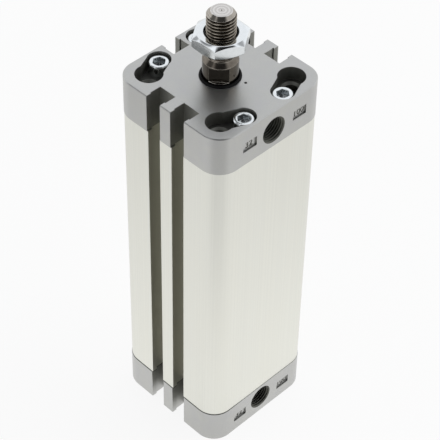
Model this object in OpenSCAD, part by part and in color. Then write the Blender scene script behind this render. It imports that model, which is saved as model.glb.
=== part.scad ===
// Compact pneumatic cylinder, double acting, with a square extruded barrel.
// The cylinder axis is Z, the rod points up, and the origin lies at the centre of the end
// cover's rear face. The ports open on the -Y side. The -X and +X sides carry two sensor
// slots each, and the +Y side carries one.

/* [Body] */
// Bore of the barrel, which the piston runs in
bore_d = 32; // [28:0.5:40]
// Wall of the barrel between its bore and the middle of a side
wall_t = 8.5; // [8:0.1:10]
// Radius of the four long outer edges
body_corner_r = 7.7; // [6:0.1:9]
// How far the barrel lies back from the faces of the covers
barrel_setback = 0.15; // [0.1:0.05:0.4]
// Travel of the piston
stroke = 100; // [20:5:200]

/* [Covers] */
// Thickness of the bearing cover at the rod end
bearing_cap_len = 14.8; // [14.4:0.2:20]
// Thickness of the end cover
end_cap_len = 14.2; // [14:0.2:20]
// Bevel round the outer face of each cover
cap_edge_break = 0.3; // [0.2:0.1:1]
// Length of the round spigot that each cover puts into the bore
spigot_len = 3.5; // [3.3:0.1:5]
// Radius of the small witness mark beside the rod
witness_mark_r = 0.5; // [0.3:0.1:0.8]

/* [Sensor slots] */
// Width of the mouth of a slot in the barrel
slot_mouth_w = 5.6; // [5:0.1:6.4]
// Width of a slot behind its lips
slot_inner_w = 7.1; // [6.9:0.1:7.6]
// Thickness of the lips of a slot
slot_lip_t = 2.1; // [1.6:0.1:2.6]
// Depth of a slot below the face of the body
slot_depth = 6.5; // [5.4:0.1:6.6]
// How much wider the mouth is in the covers, on each edge
slot_cap_relief = 0.35; // [0.1:0.05:0.4]

/* [Mounting holes] */
// Distance of the mounting holes from the faces of the body
mount_inset = 8.25; // [8:0.05:9]
// Diameter of the mounting holes through both covers and the barrel
mount_hole_d = 5.2; // [4.4:0.1:5.4]
// Diameter of the counterbore over a mounting hole
mount_counterbore_d = 9.5; // [9:0.1:9.8]
// Width of the bevel at the mouth of a mounting hole, in the floor of its counterbore
mount_bevel = 0.8; // [0.3:0.1:1.2]
// Depth of the counterbores and of the screw pockets
pocket_depth = 5; // [4.6:0.1:5.6]

/* [Cover screws] */
// Wall between the pocket of a cover screw and the middle slot
screw_rib_t = 1.15; // [0.9:0.05:1.6]
// Distance of the cover screws from the nearest face of the body
screw_inset = 5; // [4.9:0.1:5.4]
// Diameter of the screw thread
screw_d = 5; // [4:0.1:5]
// Diameter of the screw head
screw_head_d = 7; // [6.4:0.1:7.2]
// Height of the screw head
screw_head_h = 4.1; // [3:0.1:4.4]
// Width across the flats of the hexagon socket
screw_socket_af = 4; // [3:0.1:4.2]
// Depth of the hexagon socket
screw_socket_depth = 2.4; // [1.8:0.1:2.6]
// Length of screw thread that goes into the barrel
screw_grip = 10; // [6:0.5:14]
// Diameter of the pocket round a screw head
screw_pocket_d = 8.2; // [7.8:0.1:8.4]
// Width of the waist between a screw pocket and its counterbore
pocket_waist_w = 8.1; // [7:0.1:8.1]

/* [Ports] */
// Distance of each port from the outer face of its cover
port_inset = 8; // [7.4:0.1:8]
// Diameter of the port at the roots of its thread
port_thread_d = 9.7; // [9.2:0.1:9.7]
// Diameter of the bevelled mouth of a port
port_mouth_d = 10; // [9.9:0.1:10.2]
// Depth of a port
port_depth = 8; // [7:0.1:8.4]

/* [Mark fields] */
// Width of the sunk fields beside the ports
field_w = 6.1; // [5:0.1:6.2]
// Height of the fields along the cylinder
field_h = 3.7; // [3:0.1:3.8]
// Depth of the fields
field_depth = 0.6; // [0.2:0.05:0.6]
// Distance of the left field from the port axis
field_left_x = 10.8; // [10.4:0.1:11.2]
// Distance of the right field from the port axis
field_right_x = 11.8; // [11.4:0.1:12.2]
// Distance of the fields from the outer face of the bearing cover
front_field_inset = 7.6; // [7.4:0.1:8.2]
// Distance of the fields from the outer face of the end cover
rear_field_inset = 6.9; // [6.9:0.1:8]

/* [Rod] */
// Diameter of the piston rod
rod_d = 12; // [11:0.1:14]
// Height of the rod shoulder above the bearing cover with the rod in
rod_reach = 7; // [6.5:0.5:12]
// Length of the threaded end above the shoulder
rod_thread_len = 19; // [16:0.5:24]
// Outer diameter of the rod thread
rod_thread_d = 9.8; // [9.4:0.1:10]
// Bevel at the tip of the thread
rod_tip_bevel = 1.45; // [0.5:0.05:1.6]
// Diameter of the relief groove under the thread
rod_relief_d = 9; // [8.4:0.1:9.2]
// Depth of each spanner flat on the rod
rod_flat_depth = 1; // [0.6:0.1:1.2]
// Length of the spanner flats
rod_flat_len = 5.6; // [3:0.1:5.6]
// Direction that the spanner flats face
rod_flat_angle = 40; // [0:5:180]
// Diameter of the rod end that carries the piston
rod_tail_d = 8; // [6:0.5:8]

/* [Lock nut] */
// Width across the flats of the lock nut
nut_af = 17; // [15:0.5:19]
// Thickness of the lock nut
nut_t = 5; // [4:0.5:7]
// Length of thread left free above the lock nut
thread_free_len = 8.2; // [2:0.1:10]
// Angle that the lock nut is turned by
nut_angle = 34; // [0:1:60]
// Slope of the bevels on the corners of the nut
nut_bevel_slope = 30; // [20:1:40]
// Width of the bevel at the mouth of the nut thread
nut_mouth_bevel = 0.8; // [0.4:0.1:1]

/* [Piston] */
// Length of the piston
piston_len = 10.8; // [10.4:0.2:20]
// Gap between the piston and its buffer at either end of the travel
end_gap = 0.3; // [0.3:0.1:0.6]
// Height of the buffers above the spigots
bumper_proud = 0.8; // [0.5:0.1:1.2]
// Height of a piston seal
piston_seal_h = 2.4; // [2:0.1:2.6]
// Height of the magnet and of the guide ring
magnet_h = 2.6; // [2:0.1:2.8]
// Thickness of the piston nut
piston_nut_t = 4; // [3:0.1:4.5]

/* [Hidden] */

$fn = 96;

// How far a cut runs past the surface that it opens
cut_over = 1;
// Radial play of a running fit
running_play = 0.05;
// Radial play of a part that is pushed into its seat
seat_play = 0.03;
// Play at the ends of a seal in its groove
groove_play = 0.12;
// Radial gap between the piston and the bore
piston_gap = 0.3;
// Radial gap between a screw and its hole
screw_gap = 0.1;
// Radial gap between the rod and the lands of the bearing cover
land_gap = 0.3;

// Levels along the axis, from the rear face up
barrel_z = end_cap_len;
barrel_len = stroke + piston_len + 2 * (spigot_len + bumper_proud + end_gap);
barrel_top_z = barrel_z + barrel_len;
body_len = barrel_top_z + bearing_cap_len;
piston_z = barrel_z + spigot_len + bumper_proud + end_gap;
rod_seat_z = piston_z + piston_len;
shoulder_z = body_len + rod_reach;
rod_top_z = shoulder_z + rod_thread_len;
nut_z = rod_top_z - thread_free_len - nut_t;

bore_r = bore_d / 2;
body_side = bore_d + 2 * wall_t;
body_half = body_side / 2;
barrel_half = body_half - barrel_setback;
mount_offset = body_half - mount_inset;
rod_r = rod_d / 2;
rod_thread_r = rod_thread_d / 2;
rod_tail_r = rod_tail_d / 2;

// Place of the cover screws from the middle, along the port side and across it
screw_x = slot_inner_w / 2 + screw_rib_t + screw_pocket_d / 2;
screw_y = body_half - screw_inset;

// Distance of the paired slots from the middle of their side, as a share of the body
slot_offset_share = 0.1122;
slot_offset = slot_offset_share * body_side;
// Slots: side angle and offset along that side
SLOTS = [[0, -slot_offset], [0, slot_offset], [180, -slot_offset], [180, slot_offset], [90, 0]];

// Place of the small witness mark on the bearing cover
witness_shares = [0.063, -0.172];
witness_x = witness_shares[0] * body_side;
witness_y = witness_shares[1] * body_side;

// Depth of the tapped holes in the ends of the barrel
screw_hole_depth = screw_grip + screw_d / 2;
// Angle that the sockets of the cover screws are turned by
screw_socket_angle = 45;
// Share of the width across the flats that the bevels leave on a nut's face
nut_face_share = 0.92;

// Seats inside the bearing cover, as depths below its outer face
wiper_neck_r = rod_r + rod_d / 12;
wiper_flange_r = wiper_neck_r + rod_d / 12;
wiper_neck_depth = 1.3;
wiper_depth = 3.6;
wiper_proud = 0.8;
wiper_lip_t = 0.5;
rod_seal_top = 4.5;
rod_seal_h = 3.6;
rod_seal_w = 2.4;
rod_seal_r = rod_r + rod_seal_w;
rod_seal_lip_t = 0.7;
rod_seal_lip_h = 1.7;
bush_wall = 1;
// Land of the bearing cover between the rod seal and the bush
bush_land_t = 2;
bush_len = bearing_cap_len + spigot_len - rod_seal_top - rod_seal_h - 2 * groove_play - bush_land_t;
bush_r = rod_r + bush_wall;
land_r = rod_r + land_gap;

// Seats at the spigots
spigot_r = bore_r - seat_play;
barrel_seal_d = 1.5;
barrel_seal_r = bore_r - barrel_seal_d / 2 - seat_play;
seal_groove_r = bore_r - barrel_seal_d - 2 * seat_play;
seal_groove_w = barrel_seal_d + 2 * groove_play;
seal_groove_z = (spigot_len - seal_groove_w) / 2;
// Inner and outer radius of the buffers as shares of the bore radius
bumper_shares = [0.556, 0.669];
bumper_in_r = bumper_shares[0] * bore_r;
bumper_out_r = bumper_shares[1] * bore_r;
bumper_seat_depth = 1.2;
bumper_h = bumper_seat_depth + bumper_proud - seat_play;
bumper_bevel = 0.4;
nut_recess_share = 0.525;
nut_recess_r = nut_recess_share * bore_r;
nut_recess_gap = 0.6;
rod_tail_over = 0.5;
nut_recess_depth = piston_nut_t + rod_tail_over + nut_recess_gap - bumper_proud - end_gap;
// Air passage from a port to the chamber, as a share of the land that it runs through
passage_share = 0.75;
passage_r = passage_share * (seal_groove_r - bumper_out_r) / 2;
passage_y = -(bumper_out_r + seal_groove_r) / 2;

// Piston sections
piston_half_len = piston_len / 2;
piston_r = bore_r - piston_gap;
piston_ring_r = bore_r - running_play;
// Width across the flats of the piston nut, as a share of the bore
piston_nut_share = 0.406;
piston_nut_af = piston_nut_share * bore_d;
// Seal groove, guide groove and magnet of the piston, as shares of the bore radius
piston_seal_share = 0.7875;
piston_seal_in_r = piston_seal_share * bore_r;
piston_seal_lip_t = 0.8;
piston_seal_lip_h = 1.3;
piston_flange_t = (piston_half_len - magnet_h / 2 - piston_seal_h) / 2;
guide_share = 0.9;
guide_in_r = guide_share * bore_r;
magnet_shares = [0.531, 0.75];
magnet_in_r = magnet_shares[0] * bore_r;
magnet_out_r = magnet_shares[1] * bore_r;
o_ring_d = 1.4;
o_ring_groove = o_ring_d + 2 * seat_play;
tail_bore_r = rod_tail_r + running_play;

// Outline of the body
module rounded_square(half, corner_r) {
  core = half - corner_r;
  square([2 * half, 2 * core], center = true);
  square([2 * core, 2 * half], center = true);
  for (sx = [-1, 1], sy = [-1, 1])
    translate([sx * core, sy * core]) circle(r = corner_r);
}

// Solid of the body outline from z = 0 up, with a bevel round its top face
module bevelled_slab(half, corner_r, len, bevel) {
  core = half - corner_r;
  side_section = [
    [-half, 0], [half, 0], [half, len - bevel], [half - bevel, len],
    [bevel - half, len], [-half, len - bevel]
  ];
  for (turn = [0, 90])
    rotate(turn) rotate([90, 0, 0])
      linear_extrude(2 * core, center = true) polygon(side_section);
  for (sx = [-1, 1], sy = [-1, 1]) translate([sx * core, sy * core]) {
    cylinder(r = corner_r, h = len - bevel);
    translate([0, 0, len - bevel]) cylinder(r1 = corner_r, r2 = corner_r - bevel, h = bevel);
  }
}

// Sensor slot section, with its face on the +X side of the body
module slot_section(half, mouth_w) {
  translate([half - slot_depth, -slot_inner_w / 2])
    square([slot_depth - slot_lip_t, slot_inner_w]);
  translate([half - slot_depth / 2, -mouth_w / 2])
    square([slot_depth / 2 + cut_over, mouth_w]);
}

module slot_sections(mouth_w) {
  for (s = SLOTS)
    rotate(s[0]) translate([0, s[1]]) slot_section(body_half, mouth_w);
}

// Places of the mounting holes and of the cover screws
module at_mounts() {
  for (sx = [-1, 1], sy = [-1, 1])
    translate([sx * mount_offset, sy * mount_offset]) children();
}

module at_screws() {
  for (sx = [-1, 1], sy = [-1, 1])
    translate([sx * screw_x, sy * screw_y]) children();
}

// Counterbore and screw pocket of one corner, joined by a straight waist
module corner_pocket() {
  waist_x = mount_offset - screw_x;
  waist_y = mount_offset - screw_y;
  waist_len = norm([waist_x, waist_y]);
  waist_angle = atan2(waist_y, waist_x);
  translate([mount_offset, mount_offset]) circle(d = mount_counterbore_d);
  translate([screw_x, screw_y]) circle(d = screw_pocket_d);
  translate([screw_x, screw_y]) rotate(waist_angle)
    translate([0, -pocket_waist_w / 2]) square([waist_len, pocket_waist_w]);
}

// Outer block of a cover, from its joint at z = 0 to its outer face at z = len
module cap_block(len, field_inset) {
  difference() {
    union() {
      bevelled_slab(body_half, body_corner_r, len, cap_edge_break);
      translate([0, 0, -spigot_len]) cylinder(r = spigot_r, h = spigot_len + cut_over);
    }
    translate([0, 0, -cut_over])
      linear_extrude(len + 2 * cut_over) slot_sections(slot_mouth_w + 2 * slot_cap_relief);
    translate([0, 0, len - pocket_depth])
      linear_extrude(pocket_depth + cut_over)
        for (mx = [0, 1], my = [0, 1]) mirror([mx, 0]) mirror([0, my]) corner_pocket();
    at_mounts() translate([0, 0, -cut_over]) cylinder(d = mount_hole_d, h = len + cut_over);
    at_mounts() translate([0, 0, len - pocket_depth - mount_bevel])
      cylinder(r1 = mount_hole_d / 2, r2 = mount_hole_d / 2 + mount_bevel + cut_over,
        h = mount_bevel + cut_over);
    at_screws() translate([0, 0, -cut_over])
      cylinder(r = screw_d / 2 + screw_gap, h = len + cut_over);
    translate([0, 0, -seal_groove_z - seal_groove_w]) difference() {
      cylinder(r = spigot_r + cut_over, h = seal_groove_w);
      translate([0, 0, -cut_over]) cylinder(r = seal_groove_r, h = seal_groove_w + 2 * cut_over);
    }
    translate([0, 0, -spigot_len - cut_over]) difference() {
      cylinder(r = bumper_out_r + seat_play, h = bumper_seat_depth + cut_over);
      translate([0, 0, -cut_over])
        cylinder(r = bumper_in_r - seat_play, h = bumper_seat_depth + 3 * cut_over);
    }
    port_cut(len - port_inset);
    for (x = [-field_left_x, field_right_x])
      translate([x - field_w / 2, -body_half - cut_over, len - field_inset - field_h / 2])
        cube([field_w, field_depth + cut_over, field_h]);
  }
}

// Threaded port on the -Y side, with the passage that leads to the chamber
module port_cut(level) {
  mouth_bevel = (port_mouth_d - port_thread_d) / 2;
  drill_len = body_half + passage_y;
  translate([0, -body_half, level]) rotate([-90, 0, 0]) {
    translate([0, 0, -cut_over]) cylinder(d = port_thread_d, h = port_depth + cut_over);
    translate([0, 0, -cut_over])
      cylinder(r1 = port_mouth_d / 2 + cut_over, r2 = port_thread_d / 2, h = mouth_bevel + cut_over);
    cylinder(r = passage_r, h = drill_len);
  }
  translate([0, passage_y, -spigot_len - cut_over])
    cylinder(r = passage_r, h = level + spigot_len + cut_over);
}

// Extruded barrel
module barrel() {
  color([0.83, 0.83, 0.80]) translate([0, 0, barrel_z]) difference() {
    linear_extrude(barrel_len) difference() {
      rounded_square(barrel_half, body_corner_r - barrel_setback);
      slot_sections(slot_mouth_w);
    }
    translate([0, 0, -cut_over]) cylinder(r = bore_r, h = barrel_len + 2 * cut_over);
    at_mounts() translate([0, 0, -cut_over])
      cylinder(d = mount_hole_d, h = barrel_len + 2 * cut_over);
    for (end_z = [-cut_over, barrel_len - screw_hole_depth])
      at_screws() translate([0, 0, end_z])
        cylinder(r = screw_d / 2 + screw_gap, h = screw_hole_depth + cut_over);
  }
}

// Cover at the rod end, with seats for the wiper, the rod seal and the bush
module bearing_cap() {
  len = bearing_cap_len;
  color([0.73, 0.73, 0.75]) translate([0, 0, barrel_top_z]) difference() {
    cap_block(len, front_field_inset);
    translate([0, 0, -spigot_len - cut_over])
      cylinder(r = land_r, h = len + spigot_len + 2 * cut_over);
    translate([0, 0, len - wiper_depth])
      cylinder(r = wiper_neck_r + seat_play, h = wiper_depth + cut_over);
    translate([0, 0, len - wiper_depth])
      cylinder(r = wiper_flange_r + seat_play, h = wiper_depth - wiper_neck_depth);
    translate([0, 0, len - rod_seal_top - rod_seal_h - 2 * groove_play])
      cylinder(r = rod_seal_r + seat_play, h = rod_seal_h + 2 * groove_play);
    translate([0, 0, -spigot_len - cut_over])
      cylinder(r = bush_r + seat_play, h = bush_len + cut_over);
    translate([witness_x, witness_y, len - witness_mark_r])
      cylinder(r = witness_mark_r, h = witness_mark_r + cut_over);
  }
}

// Cover at the blind end, with a recess for the piston nut
module end_cap() {
  color([0.73, 0.73, 0.75]) translate([0, 0, barrel_z]) mirror([0, 0, 1]) difference() {
    cap_block(end_cap_len, rear_field_inset);
    translate([0, 0, -spigot_len - cut_over])
      cylinder(r = nut_recess_r, h = nut_recess_depth + cut_over);
  }
}

// Slim-headed socket screw, standing on the underside of its head at z = 0
module cap_screw(shank_len) {
  head_r = screw_head_d / 2;
  head_bevel = screw_head_d / 20;
  shank_r = screw_d / 2;
  tip_bevel = screw_d / 8;
  difference() {
    union() {
      rotate_extrude() polygon([
        [0, 0], [head_r, 0], [head_r, screw_head_h - head_bevel],
        [head_r - head_bevel, screw_head_h], [0, screw_head_h]
      ]);
      rotate_extrude() polygon([
        [0, -shank_len], [shank_r - tip_bevel, -shank_len], [shank_r, tip_bevel - shank_len],
        [shank_r, head_bevel], [0, head_bevel]
      ]);
    }
    translate([0, 0, screw_head_h - screw_socket_depth])
      rotate(screw_socket_angle)
        cylinder(d = screw_socket_af / cos(30), h = screw_socket_depth + cut_over, $fn = 6);
  }
}

module front_cap_screws() {
  color([0.86, 0.87, 0.88])
    at_screws() translate([0, 0, body_len - pocket_depth])
      cap_screw(bearing_cap_len - pocket_depth + screw_grip);
}

module rear_cap_screws() {
  color([0.86, 0.87, 0.88])
    at_screws() translate([0, 0, pocket_depth]) mirror([0, 0, 1])
      cap_screw(end_cap_len - pocket_depth + screw_grip);
}

// Plain bearing that guides the rod
module rod_bush() {
  color([0.62, 0.48, 0.30]) translate([0, 0, barrel_top_z - spigot_len])
    difference() {
      cylinder(r = bush_r, h = bush_len - seat_play);
      translate([0, 0, -cut_over]) cylinder(r = rod_r + running_play, h = bush_len + 2 * cut_over);
    }
}

// Lip seal round the rod, open towards the chamber
module rod_seal() {
  in_r = rod_r + running_play;
  seal_z = body_len - rod_seal_top - rod_seal_h - groove_play;
  color([0.12, 0.12, 0.13]) translate([0, 0, seal_z]) rotate_extrude() polygon([
    [in_r, 0], [in_r + rod_seal_lip_t, 0], [in_r + 2 * rod_seal_lip_t, rod_seal_lip_h],
    [rod_seal_r - rod_seal_lip_t, 0], [rod_seal_r, 0], [rod_seal_r, rod_seal_h], [in_r, rod_seal_h]
  ]);
}

// Wiper ring that snaps into the bearing cover and stands a little proud of it
module wiper_ring() {
  in_r = rod_r + running_play;
  flange_h = wiper_depth - wiper_neck_depth - groove_play;
  color([0.09, 0.09, 0.10]) translate([0, 0, body_len - wiper_depth]) rotate_extrude() polygon([
    [in_r, 0], [wiper_flange_r, 0], [wiper_flange_r, flange_h], [wiper_neck_r, flange_h],
    [wiper_neck_r, wiper_depth + wiper_proud - wiper_lip_t],
    [wiper_neck_r - wiper_lip_t / 2, wiper_depth + wiper_proud],
    [in_r + wiper_lip_t / 2, wiper_depth + wiper_proud], [in_r, wiper_depth + wiper_proud - wiper_lip_t]
  ]);
}

// Ring seal between a cover and the bore
module barrel_seal() {
  rotate_extrude() translate([barrel_seal_r, 0]) circle(d = barrel_seal_d, $fn = 32);
}

module front_barrel_seal() {
  color([0.10, 0.10, 0.11]) translate([0, 0, barrel_top_z - spigot_len / 2]) barrel_seal();
}

module rear_barrel_seal() {
  color([0.10, 0.10, 0.11]) translate([0, 0, barrel_z + spigot_len / 2]) barrel_seal();
}

// Elastic buffer that stops the piston, standing in its seat from z = 0 up
module bumper() {
  rotate_extrude() polygon([
    [bumper_in_r, 0], [bumper_out_r, 0], [bumper_out_r, bumper_h - bumper_bevel],
    [bumper_out_r - bumper_bevel, bumper_h], [bumper_in_r + bumper_bevel, bumper_h],
    [bumper_in_r, bumper_h - bumper_bevel]
  ]);
}

module rear_bumper() {
  color([0.20, 0.20, 0.22])
    translate([0, 0, barrel_z + spigot_len + bumper_proud - bumper_h]) bumper();
}

module front_bumper() {
  color([0.20, 0.20, 0.22])
    translate([0, 0, barrel_top_z - spigot_len - bumper_proud + bumper_h]) mirror([0, 0, 1]) bumper();
}

// Piston rod with spanner flats, relief groove and threaded end
module piston_rod() {
  tail_z = piston_z - piston_nut_t - rod_tail_over;
  tail_bevel = rod_tail_d / 16;
  relief_r = rod_relief_d / 2;
  neck_rise = rod_r - relief_r;
  relief_w = rod_d / 20;
  relief_run = rod_thread_r - relief_r;
  flat_top = shoulder_z - (rod_reach - rod_flat_len) / 4;
  color([0.55, 0.54, 0.51]) difference() {
    rotate_extrude() polygon([
      [0, tail_z], [rod_tail_r - tail_bevel, tail_z], [rod_tail_r, tail_z + tail_bevel],
      [rod_tail_r, rod_seat_z], [rod_r, rod_seat_z], [rod_r, shoulder_z],
      [relief_r, shoulder_z + neck_rise], [relief_r, shoulder_z + neck_rise + relief_w],
      [rod_thread_r, shoulder_z + neck_rise + relief_w + relief_run],
      [rod_thread_r, rod_top_z - rod_tip_bevel], [rod_thread_r - rod_tip_bevel, rod_top_z],
      [0, rod_top_z]
    ]);
    rotate(rod_flat_angle) for (side = [0, 180]) rotate(side)
      translate([rod_r - rod_flat_depth, -rod_r, flat_top - rod_flat_len])
        cube([rod_r, rod_d, rod_flat_len]);
  }
}

// Hexagon nut with both faces bevelled, standing on z = 0
module hex_nut(af, thick, hole_r, mouth_bevel) {
  face_r = af * nut_face_share / 2;
  corner_r = af / 2 / cos(30);
  drop = (corner_r + cut_over - face_r) * tan(nut_bevel_slope);
  difference() {
    intersection() {
      cylinder(r = corner_r, h = thick, $fn = 6);
      rotate_extrude() polygon([
        [0, 0], [face_r, 0], [corner_r + cut_over, drop],
        [corner_r + cut_over, thick - drop], [face_r, thick], [0, thick]
      ]);
    }
    translate([0, 0, -cut_over]) cylinder(r = hole_r, h = thick + 2 * cut_over);
    for (end_z = [0, thick]) translate([0, 0, end_z]) mirror([0, 0, end_z > 0 ? 0 : 1])
      translate([0, 0, -mouth_bevel])
        cylinder(r1 = hole_r, r2 = hole_r + mouth_bevel + cut_over, h = mouth_bevel + cut_over);
  }
}

module rod_nut() {
  color([0.80, 0.82, 0.84]) translate([0, 0, nut_z]) rotate(nut_angle)
    hex_nut(nut_af, nut_t, rod_thread_r + running_play, nut_mouth_bevel);
}

module piston_nut() {
  color([0.78, 0.79, 0.78]) translate([0, 0, piston_z - piston_nut_t])
    hex_nut(piston_nut_af, piston_nut_t, tail_bore_r, rod_tail_d / 20);
}

// One half of the piston, with its joint at z = 0 and its outer face up
module piston_half() {
  half_magnet = magnet_h / 2 + groove_play;
  seal_z = magnet_h / 2 + piston_flange_t;
  difference() {
    cylinder(r = piston_r, h = piston_half_len);
    translate([0, 0, -cut_over]) cylinder(r = tail_bore_r, h = piston_half_len + 2 * cut_over);
    translate([0, 0, -cut_over]) difference() {
      cylinder(r = piston_r + cut_over, h = half_magnet + cut_over);
      cylinder(r = guide_in_r, h = half_magnet + cut_over);
    }
    translate([0, 0, -cut_over]) difference() {
      cylinder(r = magnet_out_r + seat_play, h = half_magnet + cut_over);
      cylinder(r = magnet_in_r - seat_play, h = half_magnet + cut_over);
    }
    translate([0, 0, seal_z]) difference() {
      cylinder(r = piston_r + cut_over, h = piston_seal_h);
      cylinder(r = piston_seal_in_r, h = piston_seal_h);
    }
  }
}

module front_piston_half() {
  color([0.72, 0.73, 0.74]) translate([0, 0, piston_z + piston_half_len]) difference() {
    piston_half();
    translate([0, 0, -cut_over])
      cylinder(r = rod_tail_r + o_ring_groove, h = o_ring_groove + cut_over);
  }
}

module rear_piston_half() {
  color([0.72, 0.73, 0.74]) translate([0, 0, piston_z + piston_half_len]) mirror([0, 0, 1])
    piston_half();
}

// Ring seal between the rod end and the piston
module piston_o_ring() {
  color([0.10, 0.10, 0.11])
    translate([0, 0, piston_z + piston_half_len + o_ring_groove / 2])
      rotate_extrude() translate([rod_tail_r + o_ring_groove / 2, 0]) circle(d = o_ring_d, $fn = 32);
}

module magnet_ring() {
  color([0.30, 0.29, 0.30]) translate([0, 0, piston_z + piston_half_len - magnet_h / 2])
    difference() {
      cylinder(r = magnet_out_r, h = magnet_h);
      translate([0, 0, -cut_over]) cylinder(r = magnet_in_r, h = magnet_h + 2 * cut_over);
    }
}

// Ring that guides the piston in the bore
module guide_ring() {
  color([0.45, 0.50, 0.48]) translate([0, 0, piston_z + piston_half_len - magnet_h / 2])
    difference() {
      cylinder(r = piston_ring_r, h = magnet_h);
      translate([0, 0, -cut_over]) cylinder(r = guide_in_r + running_play, h = magnet_h + 2 * cut_over);
    }
}

// Lip seal of the piston, with its lips pointing up and its groove at z = 0
module piston_seal() {
  in_r = piston_seal_in_r + running_play;
  out_r = piston_ring_r;
  top = piston_seal_h - groove_play;
  rotate_extrude() polygon([
    [in_r, groove_play], [out_r, groove_play], [out_r, top], [out_r - piston_seal_lip_t, top],
    [(in_r + out_r) / 2, top - piston_seal_lip_h], [in_r + piston_seal_lip_t, top], [in_r, top]
  ]);
}

module front_piston_seal() {
  color([0.16, 0.16, 0.17])
    translate([0, 0, piston_z + piston_half_len + magnet_h / 2 + piston_flange_t]) piston_seal();
}

module rear_piston_seal() {
  color([0.16, 0.16, 0.17])
    translate([0, 0, piston_z + piston_half_len - magnet_h / 2 - piston_flange_t])
      mirror([0, 0, 1]) piston_seal();
}

barrel();
bearing_cap();
end_cap();
front_cap_screws();
rear_cap_screws();
rod_bush();
rod_seal();
wiper_ring();
front_barrel_seal();
rear_barrel_seal();
front_bumper();
rear_bumper();
piston_rod();
rod_nut();
front_piston_half();
rear_piston_half();
piston_nut();
piston_o_ring();
magnet_ring();
front_piston_seal();
rear_piston_seal();
guide_ring();
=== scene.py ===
# %% [markdown]
# # A compact pneumatic cylinder, dressed for the studio
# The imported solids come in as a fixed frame, in metres, with +Z along the cylinder and the ports on
# the -Y side. This lesson gives every solid the finish of the real one, and replaces the few solids
# whose real surface carries more than a solid shows: the threaded rod, the lock nut, the cover
# screws and the threads in the two ports.

# %% The frame
import math

import bmesh
import bpy
from mathutils import Matrix, Vector


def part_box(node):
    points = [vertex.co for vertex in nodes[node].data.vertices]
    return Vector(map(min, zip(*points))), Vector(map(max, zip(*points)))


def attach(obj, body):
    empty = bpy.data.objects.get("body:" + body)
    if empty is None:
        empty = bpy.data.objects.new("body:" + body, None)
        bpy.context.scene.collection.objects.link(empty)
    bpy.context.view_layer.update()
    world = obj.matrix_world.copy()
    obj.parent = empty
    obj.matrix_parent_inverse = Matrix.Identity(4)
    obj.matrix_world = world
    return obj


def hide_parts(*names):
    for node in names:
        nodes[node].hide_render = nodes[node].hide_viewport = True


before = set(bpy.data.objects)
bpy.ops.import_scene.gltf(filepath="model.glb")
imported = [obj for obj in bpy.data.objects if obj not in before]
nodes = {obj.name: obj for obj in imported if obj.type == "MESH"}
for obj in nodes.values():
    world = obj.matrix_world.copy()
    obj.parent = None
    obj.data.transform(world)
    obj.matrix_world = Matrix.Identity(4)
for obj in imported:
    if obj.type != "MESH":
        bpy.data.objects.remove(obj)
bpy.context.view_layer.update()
MM = 0.001

# %% [markdown]
# ## Sizes
# Every piece sits where its solid is, so the sizes are read from the boxes of the solids. Only what
# a box can't tell is written here, in millimetres.

# %% Sizes read from the solids
cover_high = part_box("bearing_cap")[1]
barrel_low, barrel_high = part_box("barrel")
rod_low, rod_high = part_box("piston_rod")
nut_low, nut_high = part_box("rod_nut")
BODY_HALF = cover_high.x / MM
BODY_TOP = cover_high.z / MM
BARREL_HALF = barrel_high.x / MM
ROD_TOP = rod_high.z / MM
ROD_FOOT = rod_low.z / MM
ROD_R = 6.0
FIELD_DEPTH = 0.6
CORNER_R = 7.7
THREAD_PITCH = 1.25
THREAD_CREST = 4.9
THREAD_DEPTH = 0.77
SHOULDER_RISE = 7
FLAT_LENGTH = 5.6
SHOULDER = BODY_TOP + SHOULDER_RISE
RELIEF_R = 4.5
RELIEF_LENGTH = 0.6
THREAD_FOOT = SHOULDER + ROD_R - RELIEF_R + RELIEF_LENGTH
TIP_BEVEL = 1.45
print(f"body {2 * BODY_HALF:.1f} mm square, {BODY_TOP:.1f} mm long, rod end at {ROD_TOP:.1f} mm")

# %% [markdown]
# ## Helpers
# One function adds a node to any tree, with its settings and its links. One turns an sRGB hex
# colour into the linear values that the shaders use. In a colour mix the inputs 6 and 7 are the two
# colours and output 2 is the result. One function turns the result of a Geometry Nodes tree into a
# plain mesh, because only a plain mesh rides on a body.


# %% Nodes and colours
def add(tree, kind, inputs=None, **settings):
    node = tree.nodes.new(kind)
    for name, value in settings.items():
        setattr(node, name, value)
    for key, value in (inputs or {}).items():
        source = value.outputs[0] if isinstance(value, bpy.types.Node) else value
        if isinstance(source, bpy.types.NodeSocket):
            tree.links.new(source, node.inputs[key])
        else:
            node.inputs[key].default_value = source
    return node


def colour(hex_code):
    parts = [int(hex_code[i:i + 2], 16) / 255 for i in (1, 3, 5)]
    linear = [c / 12.92 if c <= 0.04045 else ((c + 0.055) / 1.055) ** 2.4 for c in parts]
    return (*linear, 1.0)


# %% Plain meshes from node trees
def show(piece, body, material, slot, *stands_for):
    piece.data.materials.clear()
    piece.data.materials.append(material)
    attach(piece, body)
    if stands_for:
        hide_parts(*stands_for)
    print(f"{piece.name}: {len(piece.data.polygons)} faces, rides on {body}")


def grow(name, tree, values):
    seed_object = bpy.data.objects.new(name, bpy.data.meshes.new(name + "_seed"))
    bpy.context.collection.objects.link(seed_object)
    modifier = seed_object.modifiers.new("grow", "NODES")
    modifier.node_group = tree
    for item in tree.interface.items_tree:
        if item.in_out == "INPUT" and item.name in values:
            modifier[item.identifier] = values[item.name]
    graph = bpy.context.evaluated_depsgraph_get()
    mesh = bpy.data.meshes.new_from_object(seed_object.evaluated_get(graph))
    seed_object.modifiers.clear()
    seed_object.data = mesh
    mesh.name = name
    return seed_object


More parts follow.
